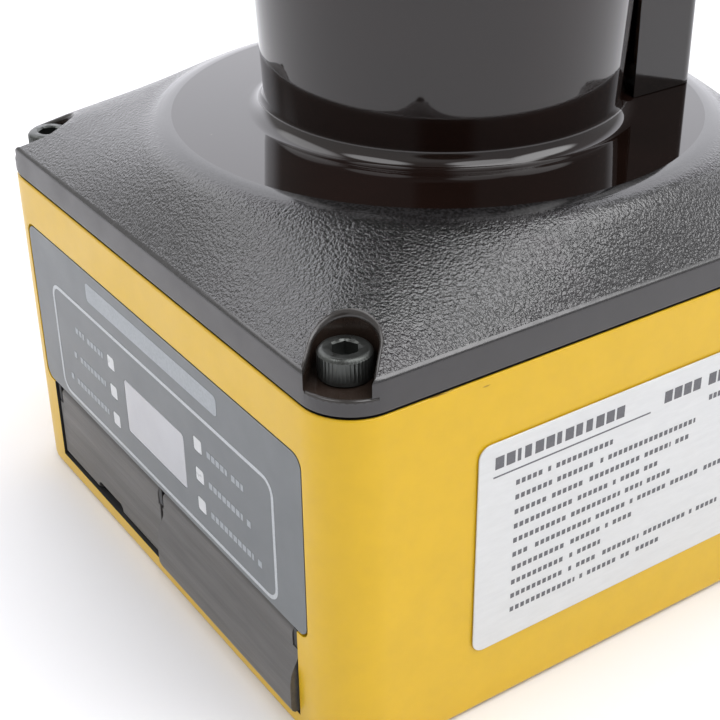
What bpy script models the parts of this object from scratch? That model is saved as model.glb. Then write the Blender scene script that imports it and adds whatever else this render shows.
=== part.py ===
"""Compact safety laser scanner: yellow cast base, black window cover, spinning mirror inside.

All lengths are millimetres; the helpers turn them into metres. +Z is up, the operator panel
faces -Y, the cable side faces +Y, and the origin is the centre of the bottom face.
"""
import math

import bmesh
import bpy
from mathutils import Matrix, Vector

MM = 0.001
SHARP_ANGLE = math.radians(32)

# Base housing
HALF = 40.0
CORNER = 6.0
HOUSING_TOP = 43.75
FLOOR = 2.0
WALL = 2.8
CAVITY_CORNER = 17.0
CEILING = 39.0
RIM_HALF = 34.0
RIM_CORNER = 13.5
FRONT = -HALF
REAR = HALF
GAP = 0.3

# Window cover: square flange, sloping shoulders, round plateau and window tube
FLANGE_BOTTOM = HOUSING_TOP + GAP
FLANGE_TOP = 48.0
PLATEAU_Z = 55.5
PLATEAU_R = 32.0
PLATEAU_Y = 1.2
SHOULDER_R = 34.5
SHOULDER_DROP = 0.6
SHOULDER_BULGE = 1.25
WINDOW_R = 21.6
WINDOW_TOP_R = 22.9
WINDOW_WALL = 1.8
WINDOW_FILLET = 2.0
WINDOW_TOP = 86.0
PLATE_THICKNESS = 2.0
SCREW_X = 34.6
SCREW_Y = 35.1
POCKET_R = 3.25
POCKET_FLOOR = FLANGE_BOTTOM + 1.9

# Spin axis of the scanning mirror
AXIS_Y = 2.0

# Head
HEIGHT = 95.0
CAP_R = 25.0
PILLAR_HALF = 13.5
PILLAR_REAR = 31.4
RIBBON_Y = 26.8
RIBBON_HALF = 4.0
CHANNEL_HALF = 5.2

# Operator panel
PANEL_HALF = 33.6
PANEL_BOTTOM = 14.6
PANEL_TOP = 37.6
PANEL_CORNER = 1.6
DISPLAY_HALF = 7.5
DISPLAY_Z = (19.1, 26.3)
LED_X = 11.2
LED_Z = (18.7, 22.85, 27.0)
LED_HALF = 0.75

# Service bay with its two hinged covers
BAY_HALF = 31.6
BAY_Z = (2.4, 14.35)
BAY_BACK = -30.4
HINGE_Y = -38.7
HINGE_Z = 12.9
COVER_HALF_THICKNESS = 1.05
COVER_BOTTOM = 2.7
PIN_R = 0.5
PIN_HOLE_R = 0.65
COVER_SPLIT = -0.75
SPLIT_GAP = 0.7

# Inside
POST_POS = 27.8
POST_R = 3.5
POST_TOP = 40.0
CHASSIS_Z = (40.3, 43.2)
DECK = CHASSIS_Z[1] + GAP
BOARD_THICKNESS = 1.6
POWER_BOARD_Z = 6.5
MAIN_BOARD_Z = 28.0
SPACERS = ((-22.0, -14.0), (22.0, -14.0), (-22.0, 22.0), (22.0, 22.0))
HUB_R = 14.6
HUB_BORE = 13.3
BARREL_R = 8.5
BEARING_WIDTH = 5.0
RECEIVE_PLANE = 70.0
EMIT_PLANE = 80.0
MIRROR_THICKNESS = 1.0

# Rear connector
CONNECTOR_Z = 19.0
VENT_X = 24.0

# Smoothness
FINE = 44
MEDIUM = 32
SMALL = 20


def clear_scene():
    for obj in list(bpy.data.objects):
        bpy.data.objects.remove(obj, do_unlink=True)


def new_collection(name):
    collection = bpy.data.collections.new(name)
    bpy.context.scene.collection.children.link(collection)
    return collection


def make_material(name, color, roughness, metallic=0.0, alpha=1.0):
    material = bpy.data.materials.new(name)
    material.use_nodes = True
    material.diffuse_color = (*color, alpha)
    shader = material.node_tree.nodes["Principled BSDF"]
    shader.inputs["Base Color"].default_value = (*color, 1.0)
    shader.inputs["Roughness"].default_value = roughness
    shader.inputs["Metallic"].default_value = metallic
    shader.inputs["Alpha"].default_value = alpha
    return material


clear_scene()
PARTS = new_collection("lidar_scanner_module")
CUTTERS = new_collection("cutters")

YELLOW = make_material("yellow_paint", (0.80, 0.48, 0.02), 0.42)
BLACK = make_material("black_polycarbonate", (0.012, 0.010, 0.010), 0.12)
DARK = make_material("dark_grey_plastic", (0.10, 0.10, 0.105), 0.5)
PANEL_GREY = make_material("panel_grey", (0.16, 0.17, 0.175), 0.45)
LENS_GREY = make_material("display_lens", (0.55, 0.56, 0.58), 0.25)
LED_WHITE = make_material("light_guide", (0.80, 0.80, 0.82), 0.3)
LABEL = make_material("label_white", (0.72, 0.73, 0.74), 0.4)
OXIDE = make_material("black_oxide_steel", (0.09, 0.09, 0.09), 0.4, 0.9)
STEEL = make_material("steel", (0.55, 0.56, 0.58), 0.28, 1.0)
ALUMINIUM = make_material("machined_aluminium", (0.60, 0.61, 0.63), 0.35, 1.0)
CAST_BLACK = make_material("black_anodised", (0.03, 0.03, 0.035), 0.5, 0.4)
CAP_BLACK = make_material("cap_plastic", (0.03, 0.03, 0.035), 0.5)
MIRROR = make_material("mirror_coating", (0.90, 0.88, 0.80), 0.03, 1.0)
GLASS = make_material("optical_glass", (0.70, 0.80, 0.85), 0.02, 0.0, 0.35)
BOARD = make_material("circuit_board", (0.02, 0.16, 0.07), 0.45)
COPPER = make_material("copper_winding", (0.72, 0.33, 0.12), 0.35, 1.0)
MAGNET = make_material("magnet", (0.18, 0.18, 0.19), 0.4, 0.8)
RUBBER = make_material("gasket_rubber", (0.02, 0.02, 0.02), 0.7)
BRASS = make_material("gold_contact", (0.80, 0.60, 0.25), 0.3, 1.0)
RIBBON = make_material("flex_film", (0.65, 0.30, 0.06), 0.35)


def add_object(name, mesh, material, location):
    """Link a mesh as a part, or as a hidden cutter when it has no material."""
    obj = bpy.data.objects.new(name, mesh)
    obj.location = Vector(location) * MM
    if material is None:
        obj.hide_render = True
        obj.display_type = "WIRE"
        CUTTERS.objects.link(obj)
        return obj
    mesh.materials.append(material)
    PARTS.objects.link(obj)
    return obj


def finish_mesh(name, bm, material, location):
    """Write a bmesh made in world millimetres to an object whose origin is location."""
    offset = Vector(location)
    for vert in bm.verts:
        vert.co = (vert.co - offset) * MM
    bm.normal_update()
    bmesh.ops.recalc_face_normals(bm, faces=bm.faces)
    mesh = bpy.data.meshes.new(name)
    bm.to_mesh(mesh)
    bm.free()
    mesh.shade_smooth()
    mesh.set_sharp_from_angle(angle=SHARP_ANGLE)
    return add_object(name, mesh, material, location)


def middle(span):
    return (span[0] + span[1]) / 2


def add_block(bm, x, y, z, corner=0.0, axis=2, segments=4):
    """Add a box over three spans, its edges along one axis rounded."""
    cube = bmesh.ops.create_cube(bm, size=1.0)["verts"]
    size = Vector((x[1] - x[0], y[1] - y[0], z[1] - z[0]))
    bmesh.ops.scale(bm, vec=size, verts=cube)
    bmesh.ops.translate(bm, vec=(middle(x), middle(y), middle(z)), verts=cube)
    if corner:
        edges = set()
        for vert in cube:
            for edge in vert.link_edges:
                run = edge.verts[0].co - edge.verts[1].co
                if abs(run[axis]) > run.length * 0.99:
                    edges.add(edge)
        bmesh.ops.bevel(bm, geom=list(edges), offset=corner, segments=segments,
                        profile=0.5, affect="EDGES")


def block(name, x, y, z, material=None, corner=0.0, axis=2, segments=4, origin=None):
    bm = bmesh.new()
    add_block(bm, x, y, z, corner, axis, segments)
    location = origin or (middle(x), middle(y), middle(z))
    return finish_mesh(name, bm, material, location)


def blocks(name, spans):
    """Several separate boxes in one mesh, for one cut or one union."""
    bm = bmesh.new()
    for x, y, z in spans:
        add_block(bm, x, y, z)
    return finish_mesh(name, bm, None, (0, 0, 0))


def spokes(name, count, x, y, z):
    """Equal boxes set round the spin axis, in one mesh; x runs outwards from the axis."""
    bm = bmesh.new()
    for index in range(count):
        turn = Matrix.Rotation(math.tau * index / count, 3, "Z")
        others = set(bm.verts)
        add_block(bm, x, y, z)
        for vert in set(bm.verts) - others:
            vert.co = turn @ vert.co + Vector((0, AXIS_Y, 0))
    return finish_mesh(name, bm, None, (0, 0, 0))


def add_rod(bm, radius, centre, length, axis, sides):
    """Add a cylinder whose middle is at centre, along axis 0, 1 or 2."""
    rod = bmesh.ops.create_cone(bm, cap_ends=True, segments=sides, radius1=radius,
                                radius2=radius, depth=length)["verts"]
    for vert in rod:
        px, py, pz = vert.co
        if axis == 0:
            vert.co = (pz, px, py)
        elif axis == 1:
            vert.co = (py, pz, px)
        vert.co += Vector(centre)


def rod(name, radius, span, at, material=None, axis=2, sides=SMALL):
    """Cylinder over a span along one axis; at holds the two other coordinates in order."""
    centre = list(at)
    centre.insert(axis, middle(span))
    bm = bmesh.new()
    add_rod(bm, radius, centre, span[1] - span[0], axis, sides)
    return finish_mesh(name, bm, material, centre)


def rods(name, radius, span, places, axis=2, sides=SMALL):
    """Equal cylinders at several places in one cutter or union mesh."""
    bm = bmesh.new()
    for at in places:
        centre = list(at)
        centre.insert(axis, middle(span))
        add_rod(bm, radius, centre, span[1] - span[0], axis, sides)
    return finish_mesh(name, bm, None, (0, 0, 0))


def turned(name, profile, material=None, at=(0.0, AXIS_Y, 0.0), rear=False, steps=FINE):
    """Turn a closed (radius, height) profile, listed down its outer side, round an axis.

    With rear set the axis points to +Y and heights count from the rear face.
    """
    mesh = bpy.data.meshes.new(name)
    verts = [(radius * MM, 0.0, height * MM) for radius, height in profile]
    on_axis = profile[0][0] == 0.0 and profile[-1][0] == 0.0
    count = len(profile)
    edges = [(index, index + 1) for index in range(count - 1)]
    if not on_axis:
        edges.append((count - 1, 0))
    mesh.from_pydata(verts, edges, [])
    obj = add_object(name, mesh, material, at)
    if rear:
        obj.rotation_euler = (-math.pi / 2, 0.0, 0.0)
    screw = obj.modifiers.new("turn", "SCREW")
    screw.axis = "Z"
    screw.angle = math.tau
    screw.steps = steps
    screw.render_steps = steps
    screw.use_merge_vertices = True
    screw.merge_threshold = 0.00001
    return obj


def extruded(name, outline, span, axis, material=None, origin=(0, 0, 0)):
    """Push a flat outline along one axis; its points hold the two other coordinates."""
    bm = bmesh.new()
    verts = []
    for point in outline:
        place = list(point)
        place.insert(axis, span[0])
        verts.append(bm.verts.new(place))
    face = bm.faces.new(verts)
    push = Vector((0, 0, 0))
    push[axis] = span[1] - span[0]
    result = bmesh.ops.extrude_face_region(bm, geom=[face])
    moved = [item for item in result["geom"] if isinstance(item, bmesh.types.BMVert)]
    bmesh.ops.translate(bm, vec=push, verts=moved)
    return finish_mesh(name, bm, material, origin)


def arc(centre, radius, start, end, steps):
    """Points on an arc, angles in degrees."""
    points = []
    for index in range(steps + 1):
        angle = math.radians(start + (end - start) * index / steps)
        points.append((centre[0] + radius * math.cos(angle),
                       centre[1] + radius * math.sin(angle)))
    return points


def boolean(target, tool, operation):
    modifier = target.modifiers.new(tool.name, "BOOLEAN")
    modifier.operation = operation
    modifier.solver = "EXACT"
    modifier.object = tool


def cut(target, *tools):
    for tool in tools:
        boolean(target, tool, "DIFFERENCE")


def join(target, *tools):
    for tool in tools:
        boolean(target, tool, "UNION")


def pivot(name, location, children):
    """An empty on a joint's axis that carries the pieces which move together."""
    empty = bpy.data.objects.new(name, None)
    empty.location = Vector(location) * MM
    PARTS.objects.link(empty)
    for child in children:
        child.location -= empty.location
        child.parent = empty
    return empty


# Lofts between a rounded square and circles

def square_loop(half, radius, straight=5, corner=6):
    """Points of a rounded square, counter-clockwise from the middle of the +X side."""
    inner = half - radius
    quarter = [(half, inner * index / straight) for index in range(straight)]
    quarter += arc((inner, inner), radius, 0, 90, corner)
    quarter += [(inner * (1 - index / straight), half) for index in range(1, straight)]
    points = []
    for turn in range(4):
        cosine = (1, 0, -1, 0)[turn]
        sine = (0, 1, 0, -1)[turn]
        points += [(x * cosine - y * sine, x * sine + y * cosine) for x, y in quarter]
    return points


OUTLINE = square_loop(HALF, CORNER)


def round_loop(radius, centre=AXIS_Y):
    """Points of a circle about x = 0, y = centre, one for each point of the outline."""
    angles = [math.atan2(y, x) for x, y in OUTLINE]
    return [(radius * math.cos(a), centre + radius * math.sin(a)) for a in angles]


def blend(first, second, share):
    return [(ax + (bx - ax) * share, ay + (by - ay) * share)
            for (ax, ay), (bx, by) in zip(first, second)]


def loft(name, loops, material=None):
    """Close a ring of loops, each a pair of its points and its height."""
    bm = bmesh.new()
    rows = []
    for points, height in loops:
        rows.append([bm.verts.new((x, y, height)) for x, y in points])
    count = len(rows[0])
    for lower, upper in zip(rows, rows[1:] + rows[:1]):
        for index in range(count):
            after = (index + 1) % count
            bm.faces.new((lower[index], lower[after], upper[after], upper[index]))
    return finish_mesh(name, bm, material, (0, 0, 0))


def square_ring(name, inner, outer, z, material=None):
    """A flat ring between two rounded squares, each given as half width and corner radius."""
    outside = square_loop(*outer, straight=1)
    inside = square_loop(*inner, straight=1)
    return loft(name, [(outside, z[0]), (outside, z[1]), (inside, z[1]), (inside, z[0])], material)


def corners(x, y=None):
    """The four places (+-x, +-y); y is the same as x where it isn't given."""
    return [(sx * x, sy * (x if y is None else y)) for sx in (-1, 1) for sy in (-1, 1)]


SCREW_PLACES = corners(SCREW_X, SCREW_Y)


# Base housing

def make_base_housing():
    body = block("base_housing", (-HALF, HALF), (FRONT, REAR), (0, HOUSING_TOP), YELLOW,
                 CORNER, segments=6, origin=(0, 0, 0))
    inside = HALF - WALL
    cut(body, block("housing_cavity", (-inside, inside), (-inside, inside), (FLOOR, CEILING),
                    corner=CAVITY_CORNER, segments=6))
    cut(body, block("housing_mouth", (-RIM_HALF, RIM_HALF), (-RIM_HALF, RIM_HALF),
                    (CEILING - 1, HOUSING_TOP + 1), corner=RIM_CORNER, segments=5))
    join(body, rods("chassis_posts", POST_R, (FLOOR - 1, POST_TOP), corners(POST_POS), sides=12))
    join(body, rods("board_bosses", 2.6, (FLOOR - 1, POWER_BOARD_Z - GAP), SPACERS, sides=12))
    cut(body, square_ring("gasket_groove", (35.2, 14.7), (36.6, 16.1),
                          (HOUSING_TOP - 1.1, HOUSING_TOP + 1)))
    cut(body, block("panel_recess", (-PANEL_HALF - 0.25, PANEL_HALF + 0.25),
                    (FRONT - 1, FRONT + 0.9), (BAY_Z[1], PANEL_TOP + 0.25),
                    corner=PANEL_CORNER, axis=1))
    cut(body, block("bay_opening", (-BAY_HALF, BAY_HALF), (FRONT - 1, BAY_BACK + 0.4), BAY_Z))
    cut(body, block("display_opening", (-14, 14), (FRONT, FRONT + 5), (16.6, 29.0)))
    cut(body, rods("tapped_holes", 1.5, (HOUSING_TOP - 12, HOUSING_TOP + 1), SCREW_PLACES,
                   sides=16))
    cut(body, rods("post_holes", 1.3, (POST_TOP - 8, POST_TOP + 1), corners(POST_POS), sides=12))
    cut(body, rods("mounting_holes", 1.65, (-1, 8), corners(34.0), sides=16))
    cut(body, rod("connector_hole", 8.2, (REAR - 5, REAR + 1), (0, CONNECTOR_Z), axis=1,
                  sides=MEDIUM))
    cut(body, rod("vent_hole", 3.1, (REAR - 5, REAR + 1), (VENT_X, CONNECTOR_Z), axis=1))
    return body


def make_gasket():
    square_ring("housing_gasket", (35.4, 14.9), (36.4, 15.9),
                (HOUSING_TOP - 0.85, HOUSING_TOP + 0.12), RUBBER)


# Operator panel

def make_panel():
    panel = block("front_panel", (-PANEL_HALF, PANEL_HALF), (FRONT + 0.05, FRONT + 0.7),
                  (PANEL_BOTTOM, PANEL_TOP), PANEL_GREY, PANEL_CORNER, axis=1)
    clear = 0.2
    cut(panel, block("lens_opening", (-DISPLAY_HALF - clear, DISPLAY_HALF + clear),
                     (FRONT - 1, FRONT + 1.5), (DISPLAY_Z[0] - clear, DISPLAY_Z[1] + clear)))
    hole = LED_HALF + clear
    spans = [((side * LED_X - hole, side * LED_X + hole), (FRONT - 1, FRONT + 1.5),
              (height - hole, height + hole)) for side in (-1, 1) for height in LED_Z]
    cut(panel, blocks("led_openings", spans))
    block("display_window", (-DISPLAY_HALF, DISPLAY_HALF), (FRONT + 0.1, FRONT + 1.2),
          DISPLAY_Z, LENS_GREY)
    block("display_module", (-8.6, 8.6), (FRONT + 2.7, FRONT + 5.1),
          (DISPLAY_Z[0] - 0.9, DISPLAY_Z[1] + 0.9), DARK)
    block("display_board", (-20, 20), (FRONT + 5.4, FRONT + 6.6), (15.2, 36.0), BOARD)
    for side, label in ((-1, "left"), (1, "right")):
        make_light_guide(side, label)


def make_light_guide(side, label):
    """A clear bar with three square pins that reach into the panel's openings."""
    centre = side * LED_X
    bar = block("status_light_guide_" + label, (centre - 1.0, centre + 1.0),
                (FRONT + 2.4, FRONT + 5.1), (LED_Z[0] - 1.0, LED_Z[2] + 1.0), LED_WHITE)
    spans = [((centre - LED_HALF, centre + LED_HALF), (FRONT + 0.1, FRONT + 3.0),
              (height - LED_HALF, height + LED_HALF)) for height in LED_Z]
    join(bar, blocks("light_pins_" + label, spans))


# Service bay and its covers

EAR_Z = (11.7, 14.05)
EARS = ((-31.2, -30.5), (COVER_SPLIT - 0.4, COVER_SPLIT + 0.4), (30.5, 31.2))


def make_service_bay():
    bay = block("service_bay", (-BAY_HALF + GAP, BAY_HALF - GAP), (-36.9, BAY_BACK),
                (BAY_Z[0] + GAP, BAY_Z[1] - GAP), DARK)
    tub_y = (-38, BAY_BACK - 1.2)
    tub_z = (4.4, 11.5)
    cut(bay, blocks("bay_tubs", [((-28.4, -2.2), tub_y, tub_z), ((2.2, 28.4), tub_y, tub_z)]))
    ears = [(x, (HINGE_Y - 1.0, -36.4), EAR_Z) for x in EARS]
    join(bay, blocks("hinge_ears", ears))
    cut(bay, rod("ear_holes", PIN_HOLE_R, (-33, 33), (HINGE_Y, HINGE_Z), axis=0, sides=12))
    cut(bay, blocks("socket_openings", [((-19.2, -11.2), (-33, -29), (5.9, 10.1)),
                                        ((7.7, 22.3), (-33, -29), (5.3, 10.7))]))
    rod("cover_hinge_pin", PIN_R, (-31.25, 31.25), (HINGE_Y, HINGE_Z), STEEL, axis=0, sides=12)
    socket = block("service_socket", (-18.9, -11.5), (-32.0, -24.4), (6.2, 9.8), STEEL)
    cut(socket, block("socket_mouth", (-18.5, -11.9), (-33, -27), (6.6, 9.4)))
    join(socket, block("socket_tongue", (-17.4, -13.0), (-31.4, -26.5), (7.7, 8.3)))
    header = block("expansion_socket", (8.0, 22.0), (-32.0, -24.4), (5.6, 10.4), DARK)
    cut(header, block("header_mouth", (8.8, 21.2), (-33, -27), (6.3, 9.7)))
    join(header, block("header_tongue", (10.0, 20.0), (-31.0, -26.5), (7.6, 8.4)))


def cover_outline(front_points):
    """Cross-section of a cover: a round hinge edge, the given front, then a flat back."""
    top = arc((HINGE_Y, HINGE_Z), COVER_HALF_THICKNESS, 0, 180, 8)
    back = HINGE_Y + COVER_HALF_THICKNESS
    return top + front_points + [(back, COVER_BOTTOM)]


def make_cover(name, x, front_points, ear_left, ear_right):
    cover = extruded(name, cover_outline(front_points), x, 0, DARK,
                     origin=(middle(x), HINGE_Y, HINGE_Z))
    slots = [((ear[0] - GAP, ear[1] + GAP), (-42, -36), (EAR_Z[0] - GAP, EAR_Z[1] + 1))
             for ear in (ear_left, ear_right)]
    cut(cover, blocks(name + "_ear_slots", slots))
    cut(cover, rod(name + "_pin_hole", PIN_HOLE_R, (x[0] - 1, x[1] + 1), (HINGE_Y, HINGE_Z),
                   axis=0, sides=12))
    return cover


def make_covers():
    front = HINGE_Y - COVER_HALF_THICKNESS
    flat = [(front, COVER_BOTTOM + 0.4), (front + 0.4, COVER_BOTTOM)]
    half_gap = SPLIT_GAP / 2
    left = make_cover("service_cover_left", (-31.2, COVER_SPLIT - half_gap), flat, EARS[0],
                      EARS[1])
    cut(left, block("finger_notch", (-20.5, -13.2), (-42, HINGE_Y), (1, COVER_BOTTOM + 1.3)))
    grip = [(front, 10.2), (-40.2, 9.3), (-40.75, 8.0), (-40.9, 6.6), (-40.9, 3.2),
            (-40.4, COVER_BOTTOM)]
    right = make_cover("service_cover_right", (COVER_SPLIT + half_gap, 31.2), grip, EARS[1],
                       EARS[2])
    pivot("left_cover_hinge", (0, HINGE_Y, HINGE_Z), [left])
    pivot("right_cover_hinge", (0, HINGE_Y, HINGE_Z), [right])


def make_label():
    block("product_label", (HALF + 0.1, HALF + 0.35), (-22.9, 27.1), (8.8, 35.7), LABEL, 1.5,
          axis=0, segments=3)


# Window cover

def shoulder_loops():
    """Loops from the flange's top edge up the sloping shoulders to the round plateau."""
    edge = square_loop(HALF - 0.4, CORNER - 0.4)
    inner = round_loop(SHOULDER_R, PLATEAU_Y)
    top = PLATEAU_Z - SHOULDER_DROP
    loops = []
    for share in (1.0, 0.75, 0.5, 0.25, 0.0):
        height = FLANGE_TOP + (top - FLANGE_TOP) * (1 - share ** SHOULDER_BULGE)
        loops.append((blend(inner, edge, share), height))
    between = round_loop((SHOULDER_R + PLATEAU_R) / 2, PLATEAU_Y)
    loops.append((between, PLATEAU_Z - SHOULDER_DROP * 0.33))
    loops.append((round_loop(PLATEAU_R, PLATEAU_Y), PLATEAU_Z))
    return loops


def window_loops():
    """Loops from the plateau up the drafted window, over its rim and down the inside."""
    centre = (WINDOW_R + WINDOW_FILLET, PLATEAU_Z + WINDOW_FILLET)
    loops = [(round_loop(r), z) for r, z in arc(centre, WINDOW_FILLET, 270, 180, 3)]
    bore = WINDOW_R - WINDOW_WALL
    ceiling = PLATEAU_Z - PLATE_THICKNESS
    for radius, height in ((WINDOW_TOP_R, WINDOW_TOP - 0.4), (WINDOW_TOP_R - 0.4, WINDOW_TOP),
                           (WINDOW_TOP_R - WINDOW_WALL, WINDOW_TOP), (bore, PLATEAU_Z),
                           (bore, ceiling + 0.8), (bore + 0.8, ceiling),
                           (PLATEAU_R - 0.5, ceiling)):
        loops.append((round_loop(radius), height))
    skirt = square_loop(36.6, 20.0)
    loops.append((skirt, FLANGE_TOP - 0.5))
    loops.append((skirt, FLANGE_BOTTOM))
    return loops


def pocket_outline(x, y):
    """Arched slot round a screw that opens towards the nearest outer corner."""
    outward = math.degrees(math.atan2(y, x))
    points = arc((x, y), POCKET_R, outward + 90, outward + 270, 12)
    reach = Vector((x, y)).normalized() * 14
    side = Vector((-reach.y, reach.x)).normalized() * (POCKET_R + 0.5)
    far = Vector((x, y)) + reach
    points.append(tuple(far - side))
    points.append(tuple(far + side))
    return points


def make_window_cover():
    loops = [(OUTLINE, FLANGE_BOTTOM), (OUTLINE, FLANGE_TOP - 0.4)]
    loops += shoulder_loops() + window_loops()
    cover = loft("window_cover", loops, BLACK)
    for index, (x, y) in enumerate(SCREW_PLACES):
        cut(cover, extruded("screw_pocket_%d" % (index + 1), pocket_outline(x, y),
                            (POCKET_FLOOR, PLATEAU_Z + 3), 2))
    cut(cover, rods("flange_holes", 1.6, (FLANGE_BOTTOM - 1, POCKET_FLOOR + 1),
                    SCREW_PLACES, sides=16))
    cut(cover, block("ribbon_slot", (-CHANNEL_HALF, CHANNEL_HALF),
                     (RIBBON_Y - 0.9, RIBBON_Y + 1.0), (50, PLATEAU_Z + 2)))


def socket_screw(name, x, y, seat, head_r, head_h, shank_r, length, sides):
    """Cap screw with a hexagon socket, its origin on the head's seat."""
    bm = bmesh.new()
    add_rod(bm, head_r, (x, y, seat + head_h / 2), head_h, 2, sides)
    rim = [edge for edge in bm.edges
           if all(vert.co.z > seat + head_h - 0.01 for vert in edge.verts)]
    bmesh.ops.bevel(bm, geom=rim, offset=head_r * 0.12, segments=1, profile=0.5, affect="EDGES")
    screw = finish_mesh(name, bm, OXIDE, (x, y, seat))
    join(screw, rod(name + "_shank", shank_r, (seat - length, seat + 0.2), (x, y), sides=8))
    cut(screw, rod(name + "_socket", head_r * 0.52, (seat + head_h * 0.45, seat + head_h + 1),
                   (x, y), sides=6))
    return screw


def make_screws():
    for index, (x, y) in enumerate(SCREW_PLACES):
        socket_screw("window_screw_%d" % (index + 1), x, y, POCKET_FLOOR + 0.1, 2.75, 3.0,
                     1.2, 12.0, 24)
    for index, (x, y) in enumerate(corners(POST_POS)):
        socket_screw("chassis_screw_%d" % (index + 1), x, y, DECK, 2.2, 1.8, 1.0, 9.0, 12)


# Head: rear pillar, cap and the laser inside the cap

def make_pillar():
    pillar = block("rear_pillar", (-PILLAR_HALF, PILLAR_HALF), (14.0, PILLAR_REAR),
                   (PLATEAU_Z + GAP, WINDOW_TOP), CAP_BLACK, 2.2, segments=3)
    cut(pillar, rod("pillar_scoop", WINDOW_TOP_R + 0.4, (50, 90), (0, AXIS_Y), sides=64))
    cut(pillar, block("pillar_channel", (-CHANNEL_HALF, CHANNEL_HALF),
                      (AXIS_Y + 20, RIBBON_Y + 1.7), (50, 90)))


def make_cap():
    skirt = WINDOW_TOP_R - WINDOW_WALL - GAP - 0.15
    under = WINDOW_TOP + GAP
    profile = [(0, HEIGHT), (17.5, HEIGHT), (20.6, HEIGHT - 0.4), (22.8, HEIGHT - 1.5),
               (24.0, HEIGHT - 3.2), (CAP_R, HEIGHT - 5.2), (CAP_R, under + 0.6),
               (CAP_R - 0.6, under), (skirt, under), (skirt, under - 2.7),
               (skirt - 2, under - 2.7), (skirt - 2, under), (12.2, under), (12.2, 91.6),
               (0, 91.6)]
    cap = turned("top_cap", profile, CAP_BLACK)
    join(cap, block("cap_tail", (-PILLAR_HALF - 0.4, PILLAR_HALF + 0.4),
                    (16.0, PILLAR_REAR + 0.5), (under, HEIGHT - 1.5), corner=2.5, segments=3))
    cut(cap, blocks("cap_channel", [((-CHANNEL_HALF, CHANNEL_HALF), (9, RIBBON_Y + 1.7),
                                     (88.6, 91.4))]))
    cut(cap, block("cap_drop", (-CHANNEL_HALF, CHANNEL_HALF), (RIBBON_Y - 1.1, RIBBON_Y + 1.7),
                   (80, 90)))


def make_laser():
    turned("emitter_board", [(0, 90.9), (11.6, 90.9), (11.6, 89.7), (0, 89.7)], BOARD,
           steps=MEDIUM)
    turned("laser_diode", [(0, 89.4), (2.8, 89.4), (2.8, 88.2), (2.3, 88.2), (2.3, 86.4),
                           (0, 86.4)], BRASS, steps=SMALL)
    turned("collimator_barrel", [(11.9, 89.3), (11.9, 88.1), (4.6, 88.1), (4.6, 84.2),
                                 (3.2, 84.2), (3.2, 89.3)], ALUMINIUM, steps=MEDIUM)
    turned("collimator_lens", [(0, 85.9), (2.9, 85.5), (2.9, 84.6), (0, 84.6)], GLASS,
           steps=SMALL)


def make_ribbon():
    half = 0.15
    top = 90.4
    bottom = 31.0
    start = AXIS_Y + 12.0
    outline = [(start, top), (start, top - 2 * half), (RIBBON_Y - half - 0.4, top - 2 * half),
               (RIBBON_Y - half, top - 2 * half - 0.4), (RIBBON_Y - half, bottom),
               (RIBBON_Y + half, bottom), (RIBBON_Y + half, top - 0.5),
               (RIBBON_Y + half - 0.5, top)]
    extruded("emitter_ribbon", outline, (-RIBBON_HALF, RIBBON_HALF), 0, RIBBON)


# Spinning mirror, motor and encoder

def make_rotor():
    hub = turned("rotor_hub", [(HUB_R, 58.0), (HUB_R, 50.65), (16.5, 50.65), (16.5, 49.4),
                               (HUB_R, 49.4), (HUB_R, 45.0), (HUB_BORE, 45.0),
                               (HUB_BORE, 58.0)], ALUMINIUM)
    magnets = turned("magnet_ring", [(16.3, 49.1), (16.3, 45.2), (HUB_R + GAP, 45.2),
                                     (HUB_R + GAP, 49.1)], MAGNET)
    disc = turned("encoder_disc", [(21.3, 51.45), (21.3, 50.95), (HUB_R + GAP, 50.95),
                                   (HUB_R + GAP, 51.45)], STEEL)
    cut(disc, spokes("encoder_slots", 18, (19.0, 20.4), (-0.8, 0.8), (50, 52.5)))
    holder = turned("mirror_holder", [(17.3, 60.5), (17.3, 58.3), (10.5, 58.3), (10.5, 60.5)],
                    CAST_BLACK)
    join(holder, make_mirror_wedge())
    receive = make_mirror("receive_mirror", -4.6, 8.8, 9.2, -1)
    emit = make_mirror("emit_mirror", -3.9, 2.4, 5.0, 1)
    pivot("spin_axis", (0, AXIS_Y, 0), [hub, magnets, disc, holder, receive, emit])


def make_mirror_wedge():
    """Block with two 45 degree faces that carries both mirrors back to back."""
    set_back = (MIRROR_THICKNESS + GAP) * math.sqrt(2)
    lower = RECEIVE_PLANE + set_back
    upper = EMIT_PLANE - set_back
    tip = ((lower - upper) / 2, (lower + upper) / 2)
    top = 82.8
    outline = [(lower - 60.0, 60.0), tip, (top - upper, top), (12.5, top), (12.5, 59.0),
               (lower - 60.0, 59.0)]
    placed = [(y + AXIS_Y, z) for y, z in outline]
    return extruded("mirror_wedge", placed, (-11, 11), 0)


def make_mirror(name, start, end, half_width, slope):
    """Plate at 45 degrees between two depths; slope -1 faces down, +1 faces up."""
    base = RECEIVE_PLANE if slope < 0 else EMIT_PLANE
    back = MIRROR_THICKNESS / math.sqrt(2)
    front = [(depth, base + slope * depth) for depth in (start, end)]
    rear = [(y + back, z - slope * back) for y, z in reversed(front)]
    outline = [(y + AXIS_Y, z) for y, z in front + rear]
    return extruded(name, outline, (-half_width, half_width), 0, MIRROR)


def make_bearings():
    for name, bottom in (("lower_bearing", 45.0), ("upper_bearing", 52.0)):
        top = bottom + BEARING_WIDTH
        turned(name, [(HUB_BORE - GAP, top), (HUB_BORE - GAP, bottom),
                      (BARREL_R + GAP, bottom), (BARREL_R + GAP, top)], STEEL, steps=MEDIUM)


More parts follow.
